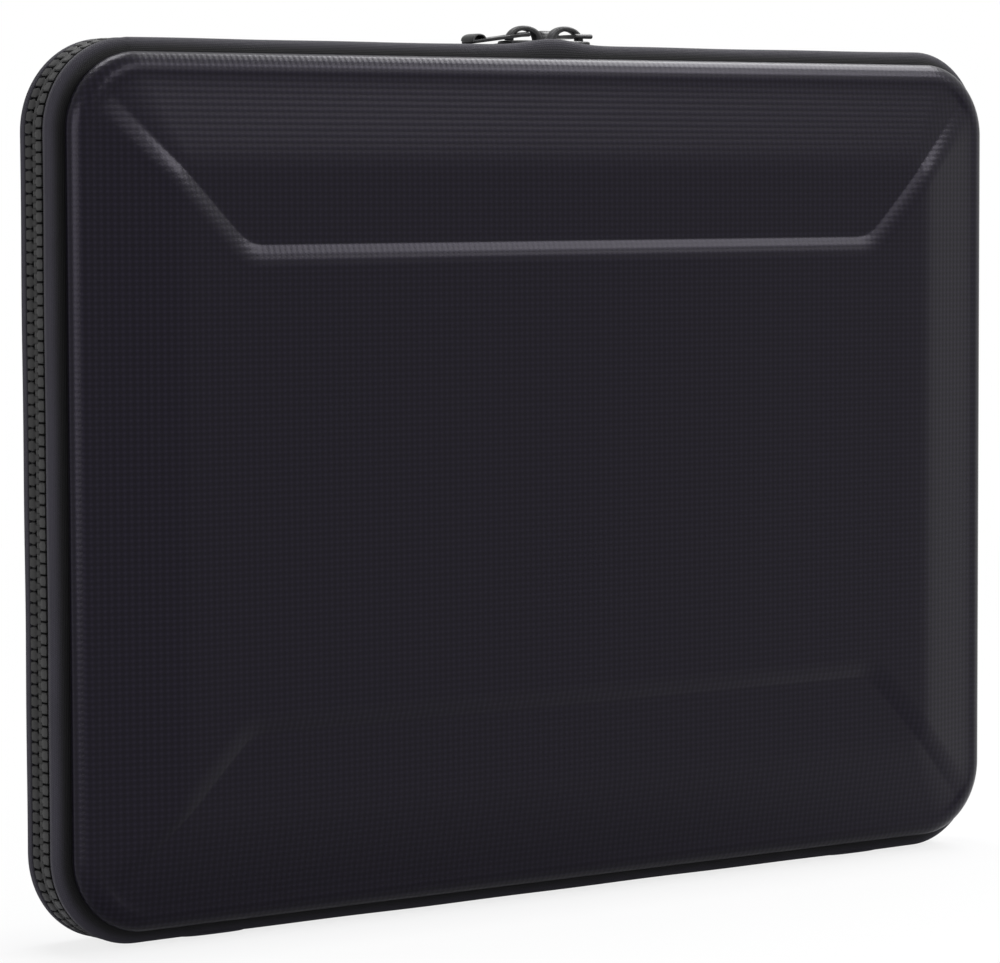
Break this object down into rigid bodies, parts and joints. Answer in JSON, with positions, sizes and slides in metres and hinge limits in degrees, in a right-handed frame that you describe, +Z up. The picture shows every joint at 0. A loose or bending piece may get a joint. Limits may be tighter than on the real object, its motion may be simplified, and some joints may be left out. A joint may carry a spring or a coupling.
{
  "type": "laptop hard case",
  "caption": "Zip-closed moulded clamshell laptop case with two padded halves, a fabric spine and two sliders with pulls.",
  "frame": {"origin": "centre of the bottom of the bounding box, under the middle of the spine, on the surface that the case stands on", "axes": "+Z up, +X along the spine to the right as seen from the front, -Y out of the front shell's face"},
  "size_m": [0.3422, 0.0432, 0.2571],
  "materials": {
    "shell": "moulded foam board under a coated cloth with a fine embossed dot grid, near black",
    "lining": "short plush, dark grey",
    "padding": "plush over foam, dark grey",
    "gusset": "fine matte woven cloth, charcoal",
    "zip_tape": "twill zip tape, black",
    "zip_teeth": "moulded plastic teeth, black",
    "elastic": "ribbed elastic webbing, black",
    "slider_metal": "die-cast, satin black coat worn at its edges",
    "pull_metal": "stamped metal, satin black coat worn at its edges"
  },
  "bodies": {
    "back_half": {"back_shell": "shell", "back_lining": "lining", "back_edge_pad": "padding", "back_gusset": "gusset", "back_spine_roll": "gusset", "back_zip_tape": "zip_tape", "back_zip_teeth": "zip_teeth", "back_end_covers": "gusset", "spine_fabric": "gusset", "spine_lining": "lining", "band_top_left": "elastic", "band_top_right": "elastic", "band_bottom_left": "elastic", "band_bottom_right": "elastic"},
    "front_half": {"front_shell": "shell", "front_lining": "lining", "front_edge_pad": "padding", "front_gusset": "gusset", "front_spine_roll": "gusset", "front_zip_tape": "zip_tape", "front_zip_teeth": "zip_teeth", "front_end_covers": "gusset"},
    "left_slider": {"left_slider_body": "slider_metal", "left_slider_bridge": "slider_metal"},
    "right_slider": {"right_slider_body": "slider_metal", "right_slider_bridge": "slider_metal"},
    "left_pull": {"left_pull": "pull_metal"},
    "right_pull": {"right_pull": "pull_metal"}
  },
  "joints": [
    {"name": "lid_hinge", "type": "hinge", "parent": "back_half", "child": "front_half", "pos_m": [0, 0, 0], "axis": [1, 0, 0], "range_deg": [0, 175], "deforming": ["spine_fabric", "spine_lining"]},
    {"name": "left_slider_travel", "type": "slide", "parent": "back_half", "child": "left_slider", "axis": [-1, 0, 0], "range_m": [0, 0.13], "deforming": ["back_zip_teeth", "front_zip_teeth"]},
    {"name": "right_slider_travel", "type": "slide", "parent": "back_half", "child": "right_slider", "axis": [1, 0, 0], "range_m": [0, 0.125], "deforming": ["back_zip_teeth", "front_zip_teeth"]},
    {"name": "left_pull_flip", "type": "hinge", "parent": "left_slider", "child": "left_pull", "pos_m": [-0.0042, 0, 0.2543], "axis": [0, 1, 0], "range_deg": [0, 100]},
    {"name": "right_pull_turn", "type": "hinge", "parent": "right_slider", "child": "right_pull", "pos_m": [0.01604, 0, 0.254], "axis": [0, 0, -1], "range_deg": [0, 180]}
  ]
}
